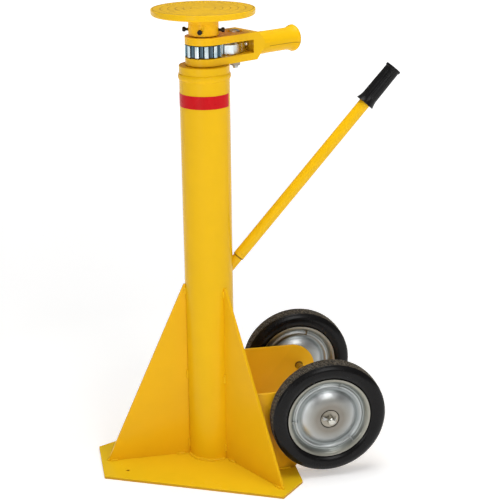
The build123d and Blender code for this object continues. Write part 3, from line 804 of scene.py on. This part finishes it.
# ---- lever socket and pawl bolt ------------------------------------------------------------
SOCKET_Z = 915.5
SOCKET_R, MOUTH_R, BORE_R = 23.7, 28.5, 17.5
SOCKET_START, SOCKET_END, BORE_START = 157.2, 245, 170
SEAM = math.radians(14)  # how far the mould's seam leans from upright
DRAFT = 1.7
BOLT_R, BOLT_CORE, BOLT_THREAD = 6.0, 5.3, 22
BOLT_HEAD, BOLT_ACROSS, BOLT_TURN = 7.5, 19.0, 8  # the head's height, width and turn


def socket_outline():
    """The lever socket along its own axis: a tube that flares and rolls in at its mouth."""
    outline = [(0, SOCKET_START), (SOCKET_R - 0.5, SOCKET_START), (SOCKET_R, 158)]
    outline += [(SOCKET_R, 180), (SOCKET_R, 200)]
    outline += arc_points((SOCKET_R, 219), (SOCKET_R + 1.4, 229), (MOUTH_R - 1, 236), 10)
    outline += arc_points((MOUTH_R - 1, 236), (MOUTH_R, 240.5), (MOUTH_R - 3, SOCKET_END), 8)
    outline += [(BORE_R + 1.4, SOCKET_END), (BORE_R + 0.4, SOCKET_END - 0.6), (BORE_R, SOCKET_END - 1.6)]
    return outline + [(BORE_R, BORE_START + 0.4), (BORE_R - 0.5, BORE_START), (0, BORE_START)]


def parted(angle, radius, z):
    """Drafted mould halves: a slightly flattened outside that meets in a parting line."""
    if radius < SOCKET_R - 1:
        return radius, z
    up, side = abs(math.cos(angle)), abs(math.sin(angle))
    drafted = math.sqrt(radius ** 2 + DRAFT ** 2 - (DRAFT * side) ** 2) - DRAFT * up
    flash = 0.35 * math.exp(-(math.degrees(math.asin(min(1.0, up))) / 1.6) ** 2)
    return min(drafted + flash, radius + 0.25), z


def make_lever_socket():
    across = turn(YOKE_ANGLE, "Z") @ Vector((1, 0, 0))
    seam = across * math.sin(SEAM) + UP * math.cos(SEAM)
    socket_enamel = enamel("socket_enamel", YELLOW, [((0, 0, SOCKET_Z), seam, 0.2, 1.1, 0.75)])
    aim = turn(YOKE_ANGLE, "Z") @ shift(0, 0, SOCKET_Z) @ turn(-90, "X")
    stand_in("lever_socket", moved(lathe(socket_outline(), 216, parted), aim), socket_enamel, 40)


def hexagon_head(width, low, high):
    """A hexagon with its corners turned off to a chamfer circle."""
    flat = width / 2
    corner = hexagon(flat, math.pi / 6)

    def six(angle, radius, z):
        if radius <= flat * 0.9:
            return radius, z
        return min(hexagon(flat, angle), radius), z

    outline = [(0, low), (flat * 0.86, low), (corner, low + 1.3), (corner, high - 1.3)]
    return lathe(outline + [(flat * 0.93, high), (flat * 0.88, high), (0, high)], 144, six)


def make_pawl_bolt():
    low, high = levels("pawl_bolt")
    head = high - BOLT_HEAD
    outline = [(0, low), (4.9, low, 0.8), (BOLT_CORE, low + 0.8), (BOLT_CORE, low + BOLT_THREAD)]
    outline += [(BOLT_R, low + BOLT_THREAD + 1), (BOLT_R, head + 1), (0, head + 1)]
    shank = lathe(rounded(outline, 0.2, 2), 48)
    worm = thread(BOLT_R, 0.75, 1.75, low + 0.4, low + BOLT_THREAD, 32)
    bolt = join(shank, worm, hexagon_head(BOLT_ACROSS, head, high))
    aim = shift(pawl_at.x, pawl_at.y, 0) @ turn(YOKE_ANGLE + BOLT_TURN, "Z")
    stand_in("pawl_bolt", moved(bolt, aim))


# ---- axle and split pins -------------------------------------------------------------------
AXLE_ROUND = 4.0  # the radius of the rod's end corners
AXLE_PLAIN = 114.0
PIN_X, PIN_WIRE, PIN_TILT = 170.0, 1.15, -15


def make_axle():
    inner, shoulder = AXLE_R - AXLE_ROUND, axle_hi.x - AXLE_ROUND
    end = [(0, axle_hi.x)]
    for degrees in range(0, 91, 10):
        a = math.radians(degrees)
        end.append((max(0.0, inner + AXLE_ROUND * math.sin(a)), shoulder + AXLE_ROUND * math.cos(a)))
    outline = end + [(AXLE_R, AXLE_PLAIN), (AXLE_R, -AXLE_PLAIN)] + [(r, -z) for r, z in reversed(end)]
    rod = moved(lathe(outline, 64), turn(90, "Y"))
    stand_in("axle", rod, axle_zinc_painted_reflection, 50, at=place(0, wheel_at.y, wheel_at.z))


def split_pin():
    """A split pin along Y: an eye, two legs side by side, and their ends bent apart."""
    eye = ((-17.4, 0.9), (-15.6, 2.9), (-13.2, 2.2), (-11.4, 1.0))
    legs = ((-6, 0.95), (0, 0.95), (6, 0.95), (9.5, 0.95))
    tails = ((11.3, 1.8), (12.0, 4.6), (11.4, 7.4))
    across = Vector((1, 0, 0))
    halves = []
    for side in (-1, 1):
        line = [Vector((0, y, side * z)) for y, z in eye + legs + tails]
        bm = bmesh.new()
        rings = []
        for k, spot in enumerate(line):
            other = ahead_at(line, k).cross(across).normalized()
            rings.append(ring_of(bm, spot, across, other, PIN_WIRE))
        skin(bm, rings)
        halves.append(bm)
    return join(*halves)


def make_split_pins():
    pins = []
    for x in (-PIN_X, PIN_X):
        pins.append(moved(split_pin(), shift(x, wheel_at.y, wheel_at.z) @ turn(PIN_TILT, "X")))
    piece = stand_in("cotter_pins", join(*pins), smooth=60)
    smoother = piece.modifiers.new("smooth", "SUBSURF")
    smoother.levels = smoother.render_levels = 2


# ---- wheels --------------------------------------------------------------------------------
TREAD_R, TREAD_HALF, TREAD_STEPS = 126.0, 14.2, 66
SHOULDER_R = 124.3  # the tread is cut outside this radius
RIB = 2 * TREAD_HALF / 5
LUGS = {1: (161, 273, 42), -1: (0, 120, 240)}  # degrees, for discs that face +X and -X


def tyre_outline():
    """The tyre's section, from one bead over the tread to the other: (radius, along the axle)."""
    side = [(86.0, 13.6), (86.4, 14.2), (90.5, 14.4), (92.4, 14.6), (93.2, 15.6)]
    side += arc_points((94.0, 16.6), (106.5, 21.4), (119.2, 18.6), 26)
    side += [(120.4, 18.3), (121.2, 17.7), (122.2, 16.9), (123.3, 15.8), (124.2, 14.6)]
    crown = []
    for k in range(TREAD_STEPS + 1):
        x = TREAD_HALF - 2 * TREAD_HALF * k / TREAD_STEPS
        crown.append((TREAD_R - 0.8 * (x / TREAD_HALF) ** 4, x))
    return side + crown + [(r, -x) for r, x in reversed(side)]


def tread(angle, radius, z):
    """Fine circumferential ribs that wander from side to side, with small cross cuts."""
    if radius < SHOULDER_R or abs(z) > 14.0:
        return radius, z
    along = (z + math.sin(angle * 46)) / RIB + 0.5
    groove = math.exp(-((along % 1.0 - 0.5) / 0.20) ** 2)
    cut = max(0.0, math.cos(angle * 92 + math.floor(along) * 1.9)) ** 4
    fade = min(1.0, (TREAD_HALF - abs(z)) / 1.2)
    return radius - (2.6 * groove + 1.5 * cut) * fade, z


def disc_outline():
    """A pressed wheel half: (radius, along the axle outward), front face then back face."""
    front = [(20.9, 18.6), (21.0, 19.4), (21.6, 19.9)]
    front += arc_points((22.2, 19.98), (45, 17.5), (60.5, 9.0), 30)
    front += arc_points((61.4, 8.8), (66, 7.4), (69.6, 8.7), 8)
    front += arc_points((70.2, 9.1), (72.6, 9.9), (75.0, 8.9), 6)
    front += arc_points((75.6, 8.3), (77.8, 7.5), (79.6, 8.9), 6)
    front += [(82.0, 12.3), (83.6, 13.9), (84.8, 14.9), (86.6, 15.6), (89.6, 16.6), (90.9, 17.2)]
    front += [(91.4, 16.6), (91.3, 15.4), (90.6, 14.85)]
    back = [(86.6, 14.8), (85.9, 14.5), (85.9, 0.1), (83.6, 0.1), (83.6, 11.4), (80.0, 6.6)]
    back += arc_points((78.0, 5.4), (72.6, 6.9), (66.0, 5.0), 6)
    back += arc_points((59.6, 6.4), (44, 15.0), (22.2, 17.6), 14)
    return front + back + [(21.0, 17.9)]


def pressed(lugs):
    """A shape for lathe(): small bosses pressed across the disc's groove, at angles in degrees."""

    def shape(angle, radius, z):
        if not 66 < radius < 84 or z < 3:
            return radius, z
        rise = 0.0
        for lug in lugs:
            off = (math.degrees(angle) - lug + 180) % 360 - 180
            across = off * radius * math.pi / 180
            rise += math.exp(-(across / 2.7) ** 4) * math.exp(-((radius - 75) / 5.2) ** 4)
            rise += 0.7 * math.exp(-(across / 2.0) ** 4) * math.exp(-((radius - 79.0) / 2.2) ** 4)
        return radius, z + 3.6 * rise

    return shape


def make_wheel(name, side):
    """One wheel, on the side of the stand that faces +X (1) or -X (-1)."""
    at = place(side * wheel_at.x, wheel_at.y, wheel_at.z)
    tyre = moved(lathe(tyre_outline(), 720, tread), turn(90, "Y"))
    stand_in("tyre_" + name, tyre, smooth=50, at=at)
    for face, outward in (("outer", side), ("inner", -side)):
        disc = lathe(disc_outline(), 360, pressed(LUGS[outward]))
        disc = moved(disc, turn(90 * outward, "Y"))
        stand_in("wheel_disc_" + face + "_" + name, disc, disc_zinc_painted_reflection, at=at)
    refined("wheel_hub_" + name, 0.6, 2, dark_steel_and_hub_shade)
    refined("wheel_bushes_" + name, 0.4, 2)


# ---- tow handle ----------------------------------------------------------------------------
TOW_ANGLE = 49.4  # degrees above the horizon
TOW_FOOT = (0, 65.8, 468.9)  # where the bar starts on its stub
STUB_R, BAR_R, BAR_END = 11.0, 12.6, 514.0
GRIP_START, GRIP_END = 424.0, 520.0
HAND_START, HAND_LENGTH = GRIP_START + 20, 69
HAND_R, HAND_TAPER, HAND_STEPS = 17.2, 0.9, 24
MARK_STEP = 0.62  # radians between the punch marks round the bar


def crimped(angle, radius, z):
    """The bar's lower end is staked round the stub by small punch marks."""
    if radius < BAR_R - 0.8 or z > 20:
        return radius, z
    dent = 0.0
    for mark in range(-2, 3):
        off = (angle - mark * MARK_STEP + math.pi) % (2 * math.pi) - math.pi
        dent += 1.9 * math.exp(-((off * BAR_R) / 1.7) ** 2 - ((z - 8.5) / 1.5) ** 2)
    return radius - dent, z


def bar_outline():
    """The tow bar's wall, from its burred lower edge to the end inside the grip."""
    bore = STUB_R + 0.1
    outline = [(bore, 0.3), (STUB_R + 0.5, 0.0), (BAR_R + 0.25, 0.0), (BAR_R + 0.45, 0.5)]
    outline += [(BAR_R + 0.25, 1.4)] + [(BAR_R, 2.4 + 0.7 * k) for k in range(22)]
    outline += [(BAR_R, z) for z in (60, 200, 400, BAR_END - 0.5)]
    return outline + [(BAR_R - 0.5, BAR_END), (bore, BAR_END)]


def grip_outline():
    """The grip: a flared collar, a slightly tapered hand and a rim, closed over the bar's end."""
    bore = BAR_R + 0.05
    outline = [(bore, GRIP_START), (20.2, GRIP_START), (20.8, GRIP_START + 0.6)]
    outline += arc_points((20.7, GRIP_START + 1.5), (18.4, GRIP_START + 9), (HAND_R, HAND_START), 10)
    for k in range(1, HAND_STEPS + 1):
        outline.append((HAND_R - HAND_TAPER * k / HAND_STEPS, HAND_START + HAND_LENGTH * k / HAND_STEPS))
    outline += [(16.6, GRIP_END - 6.2), (17.6, GRIP_END - 5), (18.0, GRIP_END - 4.2)]
    outline += [(18.0, GRIP_END - 0.8), (17.4, GRIP_END), (0, GRIP_END)]
    return outline + [(0, BAR_END), (bore, BAR_END)]


def ribbed(angle, radius, z):
    """Moulded grip: flutes along the hand's length, faded out at both ends."""
    low, high = GRIP_START + 14, GRIP_END - 7
    if radius < 15.5 or not low < z < high:
        return radius, z
    fade = min(1.0, (z - low) / 8, (high - z) / 5)
    return radius - 0.75 * fade * max(0.0, math.cos(angle * 18)) ** 2, z


def make_tow_handle():
    lean = math.radians(TOW_ANGLE)
    along = Vector((0, math.cos(lean), math.sin(lean)))
    # A painted shadow line where the bar's end meets its stub.
    joint_shadow_line = (TOW_FOOT, along, 0.9, 2.2, 0.9)
    tow_enamel = enamel("tow_enamel", YELLOW, [joint_shadow_line], gloss=0.16, rough=0.17, relief=0.4)
    tow_at = shift(*TOW_FOOT) @ turn(TOW_ANGLE - 90, "X")
    stand_in("tow_bar", moved(lathe(bar_outline(), 120, crimped), tow_at), tow_enamel, 40)
    refined("tow_stub", 0.3, 2, tow_enamel)
    stand_in("tow_grip", moved(lathe(grip_outline(), 216, ribbed), tow_at), smooth=50)


# ---- camera, light and floor ---------------------------------------------------------------
CAMERA_AT = (2.4090, -0.3956, 1.3567)
HEADING, PITCH, ROLL = math.radians(78.57), math.radians(19.619), math.radians(-0.546)
SENSOR, LENS = 36.0, 86.87
SKY = ((0.0, (0.30, 0.28, 0.25, 1)), (0.25, (0.45, 0.44, 0.42, 1)), (0.8, (1.0, 1.0, 1.0, 1)))
SKY_STRENGTH = 0.41
FLOOR_SIZE, SURROUND_R, SURROUND_HEIGHT = 48, 23, 16


def make_camera(scene):
    """The photograph's view: turned from +Y by the heading, looking down, rolled a little."""
    camera = bpy.data.objects.new("camera", bpy.data.cameras.new("camera"))
    scene.collection.objects.link(camera)
    camera.data.sensor_width = SENSOR
    camera.data.lens = LENS
    right = Vector((math.cos(HEADING), math.sin(HEADING), 0))
    level = Vector((-math.sin(HEADING), math.cos(HEADING), 0))
    forward = level * math.cos(PITCH) - UP * math.sin(PITCH)
    up = right.cross(forward)
    side = right * math.cos(ROLL) + up * math.sin(ROLL)
    top = up * math.cos(ROLL) - right * math.sin(ROLL)
    matrix = Matrix((side, top, -forward)).transposed().to_4x4()
    matrix.translation = Vector(CAMERA_AT)
    camera.matrix_world = matrix
    scene.camera = camera


def make_world(scene):
    """Soft light from all round, brighter from above."""
    world = bpy.data.worlds.new("studio")
    scene.world = world
    world.use_nodes = True
    tree = world.node_tree
    background = tree.nodes["Background"]
    coords = tree.nodes.new("ShaderNodeTexCoord")
    parts = tree.nodes.new("ShaderNodeSeparateXYZ")
    ramp = tree.nodes.new("ShaderNodeValToRGB")
    tree.links.new(coords.outputs["Generated"], parts.inputs["Vector"])
    tree.links.new(parts.outputs["Z"], ramp.inputs["Fac"])
    tree.links.new(ramp.outputs["Color"], background.inputs["Color"])
    background.inputs["Strength"].default_value = SKY_STRENGTH
    low, middle, high = SKY
    stops = ramp.color_ramp.elements
    stops[0].position, stops[0].color = low
    stops[1].position, stops[1].color = high
    stops.new(middle[0]).color = middle[1]


def panel(name, location, target, size, power):
    """A soft rectangular light that faces a point."""
    light = bpy.data.lights.new(name, "AREA")
    light.shape = "RECTANGLE"
    light.size, light.size_y = size
    light.energy = power
    lamp = bpy.data.objects.new(name, light)
    bpy.context.scene.collection.objects.link(lamp)
    lamp.location = location
    lamp.rotation_mode = "QUATERNION"
    lamp.rotation_quaternion = (Vector(target) - Vector(location)).to_track_quat("-Z", "Y")


def make_floor():
    """A pale floor that glows more away from the stand, so that it runs into the backdrop."""
    bpy.ops.mesh.primitive_plane_add(size=FLOOR_SIZE, location=(0, 0, -0.0002))
    floor = bpy.context.object
    floor.name = "floor"
    mat, tree, shader, coords = paper("floor_paper")
    glow = remap(tree, radius_of(tree, coords, ACROSS_Z), 0.9, 4.5, 0.30, 0.85)
    tree.links.new(glow, shader.inputs["Emission Strength"])
    shader.inputs["Specular IOR Level"].default_value = 0.1
    floor.data.materials.append(mat)


def make_surround():
    """A plain white surround for low views. It throws no light or shadow on the stand."""
    bpy.ops.mesh.primitive_cylinder_add(
        vertices=96, radius=SURROUND_R, depth=SURROUND_HEIGHT, end_fill_type="NOTHING", location=(0, 0, 6)
    )
    surround = bpy.context.object
    surround.name = "surround"
    mat, _, shader, _ = paper("surround_paper")
    shader.inputs["Emission Strength"].default_value = 0.9
    surround.data.materials.append(mat)
    surround.visible_diffuse = surround.visible_glossy = False
    surround.visible_shadow = surround.visible_transmission = False


# ---- everything, in order ------------------------------------------------------------------
make_column()
make_collar_weld()
make_plates()
make_welds()
refined("reflective_band", 0.12, 1, angle=40)

make_spin_top()
make_lift_screw()
refined("ratchet_gear", 0.6, 3, gear_zinc_flute_shade)
refined("gear_key", 0.4)
refined("stop_washer", 0.6)
refined("stop_bolt", 0.5)
refined("thrust_washer", 0.3)
refined("lift_nut", 0.6)

refined("ratchet_yoke", 1.1, 3)
make_lever_socket()
refined("pawl_bolt_washer", 0.3, mat=dark_steel_and_hub_shade)
refined("pawl_bolt_nut", 0.6, mat=washer_zinc)
make_pawl_bolt()
refined("ratchet_pawl", 0.8, 3, pawl_zinc)
refined("pawl_plunger", 0.3)

make_axle()
refined("axle_washers", 0.5, mat=washer_zinc)
refined("axle_spacers", 0.4)
make_split_pins()
make_wheel("right", 1)
make_wheel("left", -1)
make_tow_handle()

# a CAD node that is still shown, such as the plunger's spring, gets its slot's material
for node, thing in nodes.items():
    thing.data.materials.clear()
    thing.data.materials.append(mats[node_slot[node]])

scene = bpy.context.scene
scene.view_settings.view_transform = "Standard"
make_camera(scene)
make_world(scene)
panel("key", (2.6, 0.62, 1.65), (0, 0, 0.5), (0.9, 1.3), 17)
panel("fill", (2.35, -1.62, 0.72), (0, 0, 0.4), (0.8, 0.8), 9)
panel("overhead", (0.3, 0.2, 3.3), (0, 0, 0.4), (1.8, 1.8), 51)
make_floor()
make_surround()
